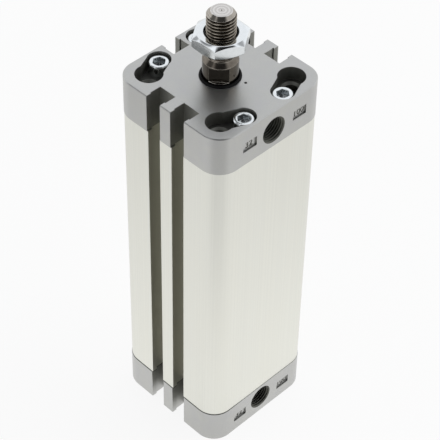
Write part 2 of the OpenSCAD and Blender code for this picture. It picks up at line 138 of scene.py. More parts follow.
# %% [markdown]
# ## Studio and camera
# The photograph looks down at the corner between the port side and the left side. The camera's
# place was fitted to the edges of the body. The world is a cool white room with darker parts, where
# a photographer stands and hangs black cards: polished steel looks like steel only because it
# mirrors dark beside bright. The camera itself sees plain white.

# %% Camera
PHOTO_WIDTH = 440
FOCAL_PIXELS = 1630.138
SENSOR_WIDTH = 36
CAMERA_PLACE = Vector((-289.030, -286.376, 483.427))
CAMERA_YAW, CAMERA_PITCH, CAMERA_ROLL = -0.7921971, -0.7767470, 0.0213848
camera_data = bpy.data.cameras.new("camera")
camera_data.sensor_width = SENSOR_WIDTH
camera_data.lens = FOCAL_PIXELS * SENSOR_WIDTH / PHOTO_WIDTH
camera_data.clip_start = 0.02
camera_data.clip_end = 20
camera = bpy.data.objects.new("camera", camera_data)
bpy.context.collection.objects.link(camera)
forward = Vector((
    math.sin(-CAMERA_YAW) * math.cos(CAMERA_PITCH),
    math.cos(CAMERA_YAW) * math.cos(CAMERA_PITCH),
    math.sin(CAMERA_PITCH),
))
level_right = forward.cross(Vector((0, 0, 1))).normalized()
level_up = level_right.cross(forward)
right = math.cos(CAMERA_ROLL) * level_right + math.sin(CAMERA_ROLL) * level_up
up = -math.sin(CAMERA_ROLL) * level_right + math.cos(CAMERA_ROLL) * level_up
turned_view = Matrix((
    (right.x, up.x, -forward.x), (right.y, up.y, -forward.y), (right.z, up.z, -forward.z),
)).to_4x4()
camera.matrix_world = Matrix.Translation(CAMERA_PLACE * MM) @ turned_view
bpy.context.scene.camera = camera
print("camera at", [round(c, 3) for c in camera.location], f"lens {camera_data.lens:.1f} mm")

# %% World: a white room with dark parts
world = bpy.data.worlds.new("studio")
world.use_nodes = True
bpy.context.scene.world = world
room = world.node_tree
room.nodes.clear()
ray = add(room, "ShaderNodeTexCoord").outputs["Generated"]


def direction(azimuth, elevation):
    a, e = math.radians(azimuth), math.radians(elevation)
    return (math.cos(a) * math.cos(e), math.sin(a) * math.cos(e), math.sin(e))


def towards(tree, heading, azimuth, elevation, full, end, outside, inside):
    """A value that is inside within full degrees of a direction, and outside beyond end degrees."""
    facing = add(tree, "ShaderNodeVectorMath", {
        0: heading, 1: direction(azimuth, elevation),
    }, operation="DOT_PRODUCT").outputs["Value"]
    return add(tree, "ShaderNodeMapRange", {
        "Value": facing, "From Min": math.cos(math.radians(end)),
        "From Max": math.cos(math.radians(full)), "To Min": outside, "To Max": inside,
    }, interpolation_type="SMOOTHSTEP")


# Each dark part: azimuth, elevation, where it is full, where it ends (degrees), how dark it is
DARK_PARTS = [
    (225, 42, 22, 44, 0.93),
    (272, 74, 15, 24, 0.98),
    (305, 30, 14, 34, 0.15),
    (150, 33, 13, 24, 0.8),
    (105, 62, 11, 19, 0.75),
    (100, 33, 5, 11, 0.6),
    (339, 50, 5, 12, 0.6),
    (45, 44, 28, 60, 0.12),
]
level = None
for azimuth, elevation, full, end, amount in DARK_PARTS:
    part = towards(room, ray, azimuth, elevation, full, end, 1.0, 1.0 - amount)
    if level is None:
        level = part
    else:
        level = add(room, "ShaderNodeMath", {0: level, 1: part}, operation="MULTIPLY")
path = add(room, "ShaderNodeLightPath")
cool_white = add(room, "ShaderNodeVectorMath", {0: (0.95, 0.966, 1.0), "Scale": level}, operation="SCALE")
lit_room = add(room, "ShaderNodeBackground", {"Color": cool_white, "Strength": 1.05})
white_room = add(room, "ShaderNodeBackground", {"Color": (1, 1, 1, 1), "Strength": 1.0})
seen = add(room, "ShaderNodeMixShader", {0: path.outputs["Is Camera Ray"], 1: lit_room, 2: white_room})
add(room, "ShaderNodeOutputWorld", {"Surface": seen})
print("dark parts in the room:", len(DARK_PARTS))

# %% [markdown]
# The cylinder stands on a light table. The camera sees it nearly even white; for polished metal it
# glows, brightest under the cylinder, a painted reflection that lights no dull surface. The shadow
# stays, but pale, and the lower cover looks brighter than the upper one, as in the photograph. The
# upright faces mirror this table, so it also carries painted shades towards the camera's side, which
# give the rounded corners their darker bands, and a small painted grey card, which gives the lock nut
# its blue grey flat. The camera sees neither.
# No metal mirrors the softbox. It lights the rubber and the table.

# %% Light table
bpy.context.scene.view_settings.view_transform = "Standard"
floor_mesh = bpy.data.meshes.new("floor")
floor_corners = [(-6, -6, 0), (6, -6, 0), (6, 6, 0), (-6, 6, 0)]
floor_mesh.from_pydata(floor_corners, [], [(0, 1, 2, 3)])
floor = bpy.data.objects.new("floor", floor_mesh)
bpy.context.collection.objects.link(floor)
table = bpy.data.materials.new("white_light_table")
table.use_nodes = True
tree = table.node_tree
paper = tree.nodes["Principled BSDF"]
paper.inputs["Base Color"].default_value = colour("#f8f8f7")
paper.inputs["Roughness"].default_value = 0.9
paper.inputs["Specular IOR Level"].default_value = 0.1
rays = add(tree, "ShaderNodeLightPath").outputs
on_table = add(tree, "ShaderNodeTexCoord").outputs["Object"]
away = add(tree, "ShaderNodeVectorMath", {0: on_table}, operation="LENGTH").outputs["Value"]
shaded = add(tree, "ShaderNodeMapRange", {
    "Value": away, "From Min": 0.04, "From Max": 0.26, "To Min": 1.0, "To Max": 0.84,
}, interpolation_type="SMOOTHSTEP")

# %% Shades and card that the metal mirrors
# Painted reflections: the shades, the card and the glow's fall-off are seen by polished metal only.
# Each shade: azimuth, where it is full, where it ends (degrees), how dark it is
TABLE_SHADES = [
    (225, 12, 46, 0.42),
    (303, 8, 26, 0.14),
]
CARD_PLACE, CARD_R, CARD_LEVEL = (-0.185, 0.148, 0), 0.031, 0.25
SEEN_GLOW, MIRRORED_GLOW = 0.9, 0.9
heading = add(tree, "ShaderNodeVectorMath", {0: on_table}, operation="NORMALIZE").outputs["Vector"]
far_out = add(tree, "ShaderNodeMapRange", {
    "Value": away, "From Min": 0.14, "From Max": 0.17,
}, interpolation_type="SMOOTHSTEP")
beyond = add(tree, "ShaderNodeMapRange", {
    "Value": away, "From Min": 0.21, "From Max": 0.26, "To Min": 1.0, "To Max": 0.35,
}, interpolation_type="SMOOTHSTEP")
at_foot = add(tree, "ShaderNodeMapRange", {
    "Value": away, "From Min": 0.036, "From Max": 0.052, "To Min": 0.2, "To Max": 0.0,
}, interpolation_type="SMOOTHSTEP")
ring = add(tree, "ShaderNodeMath", {0: far_out, 1: beyond, 2: at_foot}, operation="MULTIPLY_ADD")
for azimuth, full, end, amount in TABLE_SHADES:
    shade = towards(tree, heading, azimuth, 0, full, end, 0.0, -amount)
    shaded = add(tree, "ShaderNodeMath", {
        0: shaded, 1: add(tree, "ShaderNodeMath", {0: ring, 1: shade, 2: 1.0}, operation="MULTIPLY_ADD"),
    }, operation="MULTIPLY")
from_card = add(tree, "ShaderNodeVectorMath", {
    0: on_table, 1: CARD_PLACE,
}, operation="DISTANCE").outputs["Value"]
card = add(tree, "ShaderNodeMapRange", {
    "Value": from_card, "From Min": CARD_R - 0.005, "From Max": CARD_R, "To Min": CARD_LEVEL,
    "To Max": 1.0,
}, interpolation_type="SMOOTHSTEP")
shaded = add(tree, "ShaderNodeMath", {0: shaded, 1: card}, operation="MULTIPLY")
glow = add(tree, "ShaderNodeEmission", {
    "Strength": add(tree, "ShaderNodeMath", {0: shaded, 1: rays["Is Camera Ray"]}, operation="MAXIMUM"),
})
mirrored = add(tree, "ShaderNodeMath", {
    0: rays["Is Glossy Ray"], 1: rays["Is Transmission Ray"],
}, operation="MAXIMUM")
looked_at = add(tree, "ShaderNodeMath", {0: rays["Is Camera Ray"], 1: SEEN_GLOW}, operation="MULTIPLY")
lit_share = add(tree, "ShaderNodeMath", {
    0: looked_at, 1: add(tree, "ShaderNodeMath", {0: mirrored, 1: MIRRORED_GLOW}, operation="MULTIPLY"),
}, operation="MAXIMUM")
lit_table = add(tree, "ShaderNodeMixShader", {0: lit_share, 1: paper, 2: glow})
tree.links.new(lit_table.outputs[0], tree.nodes["Material Output"].inputs["Surface"])
floor_mesh.materials.append(table)
print("shades on the table:", len(TABLE_SHADES))

# %% Softbox
SOFTBOX_AIM = Vector((0, 0, 0.07))
box_light = bpy.data.lights.new("softbox", "AREA")
box_light.shape = "RECTANGLE"
box_light.size = 1.2
box_light.size_y = 1.0
box_light.energy = 4.2
softbox = bpy.data.objects.new("softbox", box_light)
bpy.context.collection.objects.link(softbox)
softbox.location = (0.75, -0.35, 0.8)
softbox.rotation_euler = (SOFTBOX_AIM - softbox.location).to_track_quat("-Z", "Y").to_euler()
softbox.visible_glossy = False
print("softbox energy", box_light.energy)

# %% [markdown]
# ## Finishes
# All finishes are patterns in Object coordinates, turned to millimetres first, so a scale in a
# material is a real size. `start_finish` gives the parts that each finish needs: the shader, a place
# on the piece in millimetres, and a rounded normal. No real edge is perfectly sharp, and the rounded
# normal gives each edge its thin line of light.

# %% The start of a finish
def start_finish(name, edge_mm=0.12):
    material = bpy.data.materials.new(name)
    material.use_nodes = True
    tree = material.node_tree
    shader = tree.nodes["Principled BSDF"]
    place = add(tree, "ShaderNodeVectorMath", {
        0: add(tree, "ShaderNodeTexCoord").outputs["Object"], "Scale": 1000.0,
    }, operation="SCALE")
    edge = add(tree, "ShaderNodeBevel", {"Radius": edge_mm * MM}, samples=8)
    return material, tree, shader, place, edge


def grain(tree, place, stretch, size_mm, detail=2.0, roughness=0.5):
    """Noise whose spots are about size_mm wide, stretched along x, y and z."""
    scaled = add(tree, "ShaderNodeVectorMath", {
        0: place, 1: [1 / s for s in stretch],
    }, operation="MULTIPLY")
    return add(tree, "ShaderNodeTexNoise", {
        "Vector": scaled, "Scale": 1 / size_mm, "Detail": detail, "Roughness": roughness,
    })


def dress(tree, shader, skin, gloss, relief, metallic=1.0):
    """Links a finish's colour, roughness and relief to its shader."""
    tree.links.new(skin, shader.inputs["Base Color"])
    tree.links.new(gloss.outputs[0], shader.inputs["Roughness"])
    tree.links.new(relief.outputs[0], shader.inputs["Normal"])
    shader.inputs["Metallic"].default_value = metallic


# %% How deep a point lies inside the body
def depth_inside(tree, place, half, corner):
    """Millimetres below the square outline with rounded corners, and below the two end faces."""
    apart = add(tree, "ShaderNodeVectorMath", {0: place}, operation="ABSOLUTE")
    core = (half - corner, half - corner, 1e4)
    past_core = add(tree, "ShaderNodeVectorMath", {0: apart, 1: core}, operation="SUBTRACT")
    outward = add(tree, "ShaderNodeVectorMath", {0: past_core, 1: (0, 0, 0)}, operation="MAXIMUM")
    reach = add(tree, "ShaderNodeVectorMath", {0: outward}, operation="LENGTH").outputs["Value"]
    height = add(tree, "ShaderNodeSeparateXYZ", {0: place}).outputs["Z"]
    below_end = add(tree, "ShaderNodeMath", {
        0: add(tree, "ShaderNodeMath", {0: BODY_TOP, 1: height}, operation="SUBTRACT"), 1: height,
    }, operation="MINIMUM")
    return add(tree, "ShaderNodeMath", {
        0: add(tree, "ShaderNodeMath", {0: corner, 1: reach}, operation="SUBTRACT"), 1: below_end,
    }, operation="MINIMUM")


# %% [markdown]
# ### Anodised extrusion
# The barrel is drawn through a die and then clear anodised. That leaves an ivory grey, nearly dull
# metal with faint lines along its whole length. The lines are noise squeezed to half a millimetre
# across the barrel and drawn out along it. Inside the slots the same metal is painted darker, painted
# shade of the slot walls. A thin dark line of painted shade marks the joint to the end cover, the
# shadow in the gap; it is painted strongest towards -X and fades towards +X.

# %% Anodised extrusion
anodised, tree, shader, place, edge = start_finish("clear_anodised_extruded_aluminium")
lines = grain(tree, place, (1, 1, 400), 0.45, 3.0, 0.6)
clouds = grain(tree, place, (1, 1, 6), 7.0)
depth = depth_inside(tree, place, BARREL_HALF, CORNER_R - 0.15)
# Painted shade: deeper than 0.1 to 0.5 mm inside the slots, the colour turns darker.
inside = add(tree, "ShaderNodeMapRange", {
    "Value": depth, "From Min": 0.1, "From Max": 0.5,
}, interpolation_type="SMOOTHSTEP")
skin = add(tree, "ShaderNodeMix", {
    0: add(tree, "ShaderNodeMapRange", {
        "Value": lines, "From Min": 0.3, "From Max": 0.7, "To Min": 0, "To Max": 1,
    }),
    6: colour("#edede5"), 7: colour("#f5f5ed"),
}, data_type="RGBA").outputs[2]
skin = add(tree, "ShaderNodeMix", {
    0: add(tree, "ShaderNodeMapRange", {
        "Value": clouds, "From Min": 0.3, "From Max": 0.7, "To Min": 0, "To Max": 0.35,
    }),
    6: skin, 7: colour("#f1f0e6"),
}, data_type="RGBA").outputs[2]
skin = add(tree, "ShaderNodeMix", {0: inside, 6: skin, 7: colour("#c8c7bc")}, data_type="RGBA").outputs[2]
spot = add(tree, "ShaderNodeSeparateXYZ", {0: place}).outputs
# Painted shade: a dark line along the joint, the shadow in the gap, full towards -X and fading towards +X.
above_joint = add(tree, "ShaderNodeMath", {0: spot["Z"], 1: barrel_low.z / MM}, operation="SUBTRACT")
joint = add(tree, "ShaderNodeMapRange", {
    "Value": above_joint, "From Min": 0.2, "From Max": 0.5, "To Min": 1.0, "To Max": 0.0,
})
shaded_side = add(tree, "ShaderNodeMapRange", {
    "Value": spot["X"], "From Min": -18.0, "From Max": -9.0, "To Min": 1.0, "To Max": 0.25,
})
skin = add(tree, "ShaderNodeMix", {
    0: add(tree, "ShaderNodeMath", {0: joint, 1: shaded_side}, operation="MULTIPLY"), 6: skin,
    7: colour("#32322f"),
}, data_type="RGBA").outputs[2]
gloss = add(tree, "ShaderNodeMapRange", {
    "Value": lines, "From Min": 0.3, "From Max": 0.7, "To Min": 0.42, "To Max": 0.52,
})
relief = add(tree, "ShaderNodeBump", {
    "Height": lines, "Strength": 1.0, "Distance": 0.004 * MM, "Normal": edge,
})
dress(tree, shader, skin, gloss, relief)

# %% [markdown]
# ### Satin covers
# The covers are die cast, machined on their faces and anodised in a colder grey. The faces are
# smooth enough to mirror the rod as a soft dark patch. Pockets and slots are left as cast and duller,
# and painted darker with painted shade, darkest on the pocket floors; the painted shade fades down
# towards the table. The anodised layer scatters a little light, so the finish isn't wholly metallic.

# %% Satin covers
cast_grey, tree, shader, place, edge = start_finish("satin_anodised_cast_aluminium", 0.06)
fine = grain(tree, place, (1, 1, 1), 0.3, 3.0, 0.6)
clouds = grain(tree, place, (1, 1, 1), 5.0)
# Painted shade: below 0.16 to 0.32 mm in pockets and slots the colour darkens, not on the sunk fields'
# floors, fading out over the lowest 8 mm towards the table.
below = add(tree, "ShaderNodeMapRange", {
    "Value": depth_inside(tree, place, BODY_HALF, CORNER_R), "From Min": 0.16, "From Max": 0.32,
}, interpolation_type="SMOOTHSTEP")
spot = add(tree, "ShaderNodeSeparateXYZ", {0: place}).outputs
field_floor = add(tree, "ShaderNodeMath", {
    0: spot["Y"], 1: FIELD_DEPTH - BODY_HALF, 2: 0.03,
}, operation="COMPARE")
off_table = add(tree, "ShaderNodeMapRange", {"Value": spot["Z"], "From Min": 0.0, "From Max": 8.0})
shade_reach = add(tree, "ShaderNodeMath", {
    0: off_table, 1: add(tree, "ShaderNodeMath", {0: 1.0, 1: field_floor}, operation="SUBTRACT"),
}, operation="MULTIPLY")
inside = add(tree, "ShaderNodeMath", {0: below, 1: shade_reach}, operation="MULTIPLY")
skin = add(tree, "ShaderNodeMix", {
    0: add(tree, "ShaderNodeMapRange", {
        "Value": fine, "From Min": 0.3, "From Max": 0.7, "To Min": 0, "To Max": 1,
    }),
    6: colour("#c1c1bd"), 7: colour("#c9c9c5"),
}, data_type="RGBA").outputs[2]
skin = add(tree, "ShaderNodeMix", {
    0: add(tree, "ShaderNodeMapRange", {
        "Value": clouds, "From Min": 0.3, "From Max": 0.7, "To Min": 0, "To Max": 0.5,
    }),
    6: skin, 7: colour("#c0c0c1"),
}, data_type="RGBA").outputs[2]
skin = add(tree, "ShaderNodeMix", {0: inside, 6: skin, 7: colour("#94948e")}, data_type="RGBA").outputs[2]
# Painted shade on the up-facing floors of pockets and slots.
normal = add(tree, "ShaderNodeTexCoord").outputs["Normal"]
faces_up = add(tree, "ShaderNodeSeparateXYZ", {0: normal}).outputs["Z"]
pocket_floor_shade = add(tree, "ShaderNodeMath", {
    0: inside, 1: add(tree, "ShaderNodeMath", {0: faces_up, 1: 0.9}, operation="GREATER_THAN"),
}, operation="MULTIPLY")
skin = add(tree, "ShaderNodeMix", {
    0: pocket_floor_shade, 6: skin, 7: colour("#62625e"),
}, data_type="RGBA").outputs[2]
gloss = add(tree, "ShaderNodeMath", {
    0: inside, 1: 0.2,
    2: add(tree, "ShaderNodeMapRange", {
        "Value": fine, "From Min": 0.3, "From Max": 0.7, "To Min": 0.3, "To Max": 0.37,
    }),
}, operation="MULTIPLY_ADD")
relief = add(tree, "ShaderNodeBump", {
    "Height": fine, "Strength": 1.0, "Distance": 0.003 * MM, "Normal": edge,
})
dress(tree, shader, skin, gloss, relief, 0.93)

# %% [markdown]
# ### Bright zinc and ground stainless steel
# The nut and the screws are zinc plated and blue passivated: a cold, bright mirror with a slightly
# cloudy skin. The attribute "recess" says where shade is painted: in the screws' sockets and in the
# nut's countersink. The rod is ground stainless steel, warmer in tone, with fine rings round it; its
# dark base colour is a painted dark reflection. Painted shade darkens the grooves of its thread, and
# painted highlights brighten its crests and milled edges. The tip is freshly turned, and its rings
# are drawn coarser than real ones so that they show.

# %% Bright zinc
zinc, tree, shader, place, edge = start_finish("bright_zinc_plated_steel", 0.12)
clouds = grain(tree, place, (1, 1, 1), 1.2, 3.0)
skin = add(tree, "ShaderNodeMix", {
    0: add(tree, "ShaderNodeMapRange", {
        "Value": clouds, "From Min": 0.3, "From Max": 0.7, "To Min": 0, "To Max": 1,
    }),
    6: colour("#edf1f2"), 7: colour("#f5f8f9"),
}, data_type="RGBA").outputs[2]
# Painted shade: where "recess" is set, the zinc turns nearly black.
recess = add(tree, "ShaderNodeAttribute", attribute_name="recess").outputs["Fac"]
skin = add(tree, "ShaderNodeMix", {0: recess, 6: skin, 7: colour("#2e3335")}, data_type="RGBA").outputs[2]
gloss = add(tree, "ShaderNodeMapRange", {
    "Value": clouds, "From Min": 0.3, "From Max": 0.7, "To Min": 0.08, "To Max": 0.13,
})
relief = add(tree, "ShaderNodeBump", {
    "Height": clouds, "Strength": 1.0, "Distance": 0.0008 * MM, "Normal": edge,
})
dress(tree, shader, skin, gloss, relief)

# %% Ground stainless steel
stainless, tree, shader, place, edge = start_finish("ground_stainless_steel", 0.16)
rings = grain(tree, place, (60, 60, 1), 0.12, 2.0)
clouds = grain(tree, place, (1, 1, 1), 1.5)
# Painted dark reflection: ground steel is paler; this dark base colour stands in for the dark surroundings
# it mirrors.
skin = add(tree, "ShaderNodeMix", {
    0: add(tree, "ShaderNodeMapRange", {
        "Value": clouds, "From Min": 0.3, "From Max": 0.7, "To Min": 0, "To Max": 1,
    }),
    6: colour("#6b645b"), 7: colour("#7b746a"),
}, data_type="RGBA").outputs[2]
height = add(tree, "ShaderNodeSeparateXYZ", {0: place}).outputs["Z"]
on_axis = add(tree, "ShaderNodeVectorMath", {0: place, 1: (1, 1, 0)}, operation="MULTIPLY")
from_axis = add(tree, "ShaderNodeVectorMath", {0: on_axis}, operation="LENGTH").outputs["Value"]
groove = add(tree, "ShaderNodeMapRange", {
    "Value": from_axis, "From Min": 4.3, "From Max": 4.72, "To Min": 1.0, "To Max": 0.0,
}, interpolation_type="SMOOTHSTEP")
crest = add(tree, "ShaderNodeMapRange", {
    "Value": from_axis, "From Min": 4.72, "From Max": 4.86,
}, interpolation_type="SMOOTHSTEP")
thread_top = ROD_TOP - TIP_BEVEL
threaded = add(tree, "ShaderNodeMath", {
    0: height, 1: (THREAD_FOOT + thread_top) / 2, 2: (thread_top - THREAD_FOOT) / 2,
}, operation="COMPARE")
tip_cone = add(tree, "ShaderNodeMath", {0: height, 1: thread_top}, operation="GREATER_THAN")
skin = add(tree, "ShaderNodeMix", {
    0: tip_cone, 6: skin, 7: colour("#aaa399"),
}, data_type="RGBA").outputs[2]
# Painted highlight: where the rounded normal leans away from the true face, at the milled edges, the colour
# turns bright.
facet = add(tree, "ShaderNodeNewGeometry").outputs["True Normal"]
wide_edge = add(tree, "ShaderNodeBevel", {"Radius": 0.3 * MM}, samples=8)
level_with = add(tree, "ShaderNodeVectorMath", {
    0: wide_edge, 1: facet,
}, operation="DOT_PRODUCT").outputs["Value"]
edge_glint = add(tree, "ShaderNodeMapRange", {
    "Value": level_with, "From Min": 0.96, "From Max": 0.995, "To Min": 0.9, "To Max": 0.0,
})
painted_edge_glint = add(tree, "ShaderNodeMath", {
    0: edge_glint, 1: add(tree, "ShaderNodeMath", {0: 1.0, 1: threaded}, operation="SUBTRACT"),
}, operation="MULTIPLY")
skin = add(tree, "ShaderNodeMix", {
    0: painted_edge_glint, 6: skin, 7: colour("#d6d0c6"),
}, data_type="RGBA").outputs[2]
# Painted shade in the thread's grooves, then a painted highlight on its crests.
groove_shade = add(tree, "ShaderNodeMath", {0: groove, 1: threaded}, operation="MULTIPLY")
skin = add(tree, "ShaderNodeMix", {0: groove_shade, 6: skin, 7: colour("#241f1b")}, data_type="RGBA").outputs[2]
skin = add(tree, "ShaderNodeMix", {
    0: add(tree, "ShaderNodeMath", {0: crest, 1: threaded}, operation="MULTIPLY"), 6: skin,
    7: colour("#a8a093"),
}, data_type="RGBA").outputs[2]
faced = add(tree, "ShaderNodeMath", {0: height, 1: ROD_TOP - 0.1}, operation="GREATER_THAN")
TURNING_FEED = 1.1
waves = add(tree, "ShaderNodeMath", {
    0: add(tree, "ShaderNodeMath", {0: from_axis, 1: 2 * math.pi / TURNING_FEED}, operation="MULTIPLY"),
}, operation="SINE")
ring_tone = add(tree, "ShaderNodeMath", {0: waves, 1: 0.5, 2: 0.5}, operation="MULTIPLY_ADD")
turned_face = add(tree, "ShaderNodeMix", {
    0: ring_tone, 6: colour("#ccc8c4"), 7: colour("#e6e3df"),
}, data_type="RGBA").outputs[2]
skin = add(tree, "ShaderNodeMix", {0: faced, 6: skin, 7: turned_face}, data_type="RGBA").outputs[2]
gloss = add(tree, "ShaderNodeMapRange", {
    "Value": rings, "From Min": 0.3, "From Max": 0.7, "To Min": 0.12, "To Max": 0.2,
})
relief = add(tree, "ShaderNodeBump", {
    "Height": rings, "Strength": 1.0, "Distance": 0.002 * MM, "Normal": edge,
})
dress(tree, shader, skin, gloss, relief)

# %% [markdown]
# ### Rubber, plastic, bronze and turned metal
# The seals are black polyurethane and nitrile rubber, the buffers a dark grey elastomer, and the
# guide ring filled plastic. With the dark grey of the port threads and the figures, which is painted
# shade, they share a recipe: a spotted colour, a spotted gloss and a fine grain.

# %% Soft and plain finishes
def spotted(name, low, high, rough, spot_mm, metallic=0.0, specular=0.5, relief_mm=0.006):
    material, tree, shader, place, edge = start_finish(name)
    spots = grain(tree, place, (1, 1, 1), spot_mm, 3.0)
    skin = add(tree, "ShaderNodeMix", {
        0: add(tree, "ShaderNodeMapRange", {
            "Value": spots, "From Min": 0.3, "From Max": 0.7, "To Min": 0, "To Max": 1,
        }),
        6: colour(low), 7: colour(high),
    }, data_type="RGBA").outputs[2]
    gloss = add(tree, "ShaderNodeMapRange", {
        "Value": spots, "From Min": 0.3, "From Max": 0.7, "To Min": rough[0], "To Max": rough[1],
    })
    relief = add(tree, "ShaderNodeBump", {
        "Height": spots, "Strength": 1.0, "Distance": relief_mm * MM, "Normal": edge,
    })
    dress(tree, shader, skin, gloss, relief, metallic)
    shader.inputs["Specular IOR Level"].default_value = specular
    return material


# Painted shade: the port threads and the figures get this dark grey.
shade_grey = spotted("shaded_cast_aluminium", "#5c5c56", "#6a6a63", (0.35, 0.5), 0.3, 1.0, relief_mm=0.003)
polyurethane = spotted("black_polyurethane", "#060607", "#0c0c0d", (0.45, 0.6), 0.5, specular=0.15)
nitrile = spotted("black_nitrile_rubber", "#191a1b", "#232425", (0.5, 0.65), 0.3)
elastomer = spotted("dark_grey_elastomer", "#333336", "#3e3e42", (0.55, 0.7), 0.4)
acetal = spotted("filled_acetal", "#707d78", "#7d8a84", (0.4, 0.5), 0.6)
bonded_magnet = spotted("plastic_bonded_ferrite", "#4a484a", "#565456", (0.5, 0.65), 0.25)
bronze = spotted("sintered_bronze", "#8d6c42", "#a58353", (0.35, 0.5), 0.2, 1.0)
turned = spotted("turned_aluminium", "#b9bbbd", "#c8cacb", (0.25, 0.35), 0.4, 1.0)
FINISHES = {
    "barrel": anodised, "bearing_cap": cast_grey, "end_cap": cast_grey,
    "front_cap_screws": zinc, "rear_cap_screws": zinc, "rod_nut": zinc, "piston_nut": zinc,
    "rod_bush": bronze, "rod_seal": polyurethane, "wiper_ring": polyurethane,
    "front_barrel_seal": nitrile, "rear_barrel_seal": nitrile, "piston_o_ring": nitrile,
    "front_bumper": elastomer, "rear_bumper": elastomer, "piston_rod": stainless,
    "front_piston_half": turned, "rear_piston_half": turned, "magnet_ring": bonded_magnet,
    "front_piston_seal": polyurethane, "rear_piston_seal": polyurethane, "guide_ring": acetal,
}
for name, finish in FINISHES.items():
    nodes[name].data.materials.clear()
    nodes[name].data.materials.append(finish)
print("finishes given to", len(FINISHES), "solids")

# %% [markdown]
# ## Threads
# A screw thread follows a rule: its height at any point depends only on how far round and how far
# along that point is. Geometry Nodes state the rule once. A flat grid becomes a tube, with the turn
# along x and the length along y, and each of its points moves out to the thread's profile. A
# negative depth turns the profile inside out, so the same tree cuts the thread on the rod and the
# threads in the ports.

# %% The thread tree
thread = bpy.data.node_groups.new("thread", "GeometryNodeTree")
thread.is_modifier = True
for name, kind, value in (
    ("Crest Radius", "NodeSocketFloat", THREAD_CREST), ("Thread Depth", "NodeSocketFloat", THREAD_DEPTH),
    ("Pitch", "NodeSocketFloat", THREAD_PITCH), ("Length", "NodeSocketFloat", 15.0),
    ("Foot Radius", "NodeSocketFloat", RELIEF_R), ("Tip Radius", "NodeSocketFloat", 3.45),
    ("Tip Bevel", "NodeSocketFloat", TIP_BEVEL), ("Run Out", "NodeSocketFloat", 0.8),
    ("Round", "NodeSocketInt", 144), ("Rows", "NodeSocketInt", 200),
    ("First Angle", "NodeSocketFloat", 0.0), ("Foot Level", "NodeSocketFloat", 0.0),
    ("Start Turn", "NodeSocketFloat", 0.0),
    ("Material", "NodeSocketMaterial", None),
):
    socket = thread.interface.new_socket(name, in_out="INPUT", socket_type=kind)
    if value is not None:
        socket.default_value = value
thread.interface.new_socket("Mesh", in_out="OUTPUT", socket_type="NodeSocketGeometry")
given = add(thread, "NodeGroupInput").outputs
flat_grid = add(thread, "GeometryNodeMeshGrid", {
    "Size X": 1.0, "Size Y": 1.0,
    "Vertices X": add(thread, "ShaderNodeMath", {0: given["Round"], 1: 1.0}, operation="ADD"),
    "Vertices Y": add(thread, "ShaderNodeMath", {0: given["Rows"], 1: 1.0}, operation="ADD"),
})
on_grid = add(thread, "ShaderNodeSeparateXYZ", {0: add(thread, "GeometryNodeInputPosition")}).outputs
turn = add(thread, "ShaderNodeMath", {0: on_grid["X"], 1: 0.5}, operation="ADD")
along = add(thread, "ShaderNodeMath", {
    0: add(thread, "ShaderNodeMath", {0: on_grid["Y"], 1: 0.5}, operation="ADD"), 1: given["Length"],
}, operation="MULTIPLY")
angle = add(thread, "ShaderNodeMath", {
    0: turn, 1: 2 * math.pi, 2: given["First Angle"],
}, operation="MULTIPLY_ADD")
turns_along = add(thread, "ShaderNodeMath", {
    0: add(thread, "ShaderNodeMath", {0: along, 1: given["Pitch"]}, operation="DIVIDE"),
    1: given["Start Turn"],
}, operation="ADD")
wound = add(thread, "ShaderNodeMath", {
    0: turns_along, 1: add(thread, "ShaderNodeMath", {0: angle, 1: 2 * math.pi}, operation="DIVIDE"),
}, operation="SUBTRACT")
saw = add(thread, "ShaderNodeMath", {0: wound}, operation="FRACT")
swing = add(thread, "ShaderNodeMath", {0: saw, 1: 2.0, 2: -1.0}, operation="MULTIPLY_ADD")
ridge = add(thread, "ShaderNodeMath", {
    0: 1.0, 1: add(thread, "ShaderNodeMath", {0: swing}, operation="ABSOLUTE"),
}, operation="SUBTRACT")
flank = add(thread, "ShaderNodeMapRange", {"Value": ridge, "From Min": 0.16, "From Max": 0.86})
cut = add(thread, "ShaderNodeMath", {
    0: add(thread, "ShaderNodeMath", {0: 1.0, 1: flank}, operation="SUBTRACT"), 1: given["Thread Depth"],
}, operation="MULTIPLY")
thread_r = add(thread, "ShaderNodeMath", {0: given["Crest Radius"], 1: cut}, operation="SUBTRACT")
from_foot = add(thread, "ShaderNodeClamp", {
    "Value": add(thread, "ShaderNodeMath", {0: along, 1: given["Run Out"]}, operation="DIVIDE"),
})
foot_mix = add(thread, "ShaderNodeMix", {
    0: from_foot, 2: given["Foot Radius"], 3: thread_r,
}, data_type="FLOAT")
to_tip = add(thread, "ShaderNodeMath", {
    0: add(thread, "ShaderNodeMath", {0: given["Length"], 1: along}, operation="SUBTRACT"),
    1: given["Tip Bevel"],
}, operation="DIVIDE")
slope = add(thread, "ShaderNodeMath", {
    0: given["Crest Radius"], 1: given["Tip Radius"],
}, operation="SUBTRACT")
cone_r = add(thread, "ShaderNodeMath", {
    0: to_tip, 1: slope, 2: given["Tip Radius"],
}, operation="MULTIPLY_ADD")
side = add(thread, "ShaderNodeMath", {0: given["Thread Depth"]}, operation="SIGN")
nearest = add(thread, "ShaderNodeMath", {
    0: add(thread, "ShaderNodeMath", {0: foot_mix, 1: side}, operation="MULTIPLY"),
    1: add(thread, "ShaderNodeMath", {0: cone_r, 1: side}, operation="MULTIPLY"),
}, operation="MINIMUM")
radius = add(thread, "ShaderNodeMath", {0: nearest, 1: side}, operation="MULTIPLY")
x = add(thread, "ShaderNodeMath", {
    0: radius, 1: add(thread, "ShaderNodeMath", {0: angle}, operation="COSINE"),
}, operation="MULTIPLY")
y = add(thread, "ShaderNodeMath", {
    0: radius, 1: add(thread, "ShaderNodeMath", {0: angle}, operation="SINE"),
}, operation="MULTIPLY")
z = add(thread, "ShaderNodeMath", {0: along, 1: given["Foot Level"]}, operation="ADD")
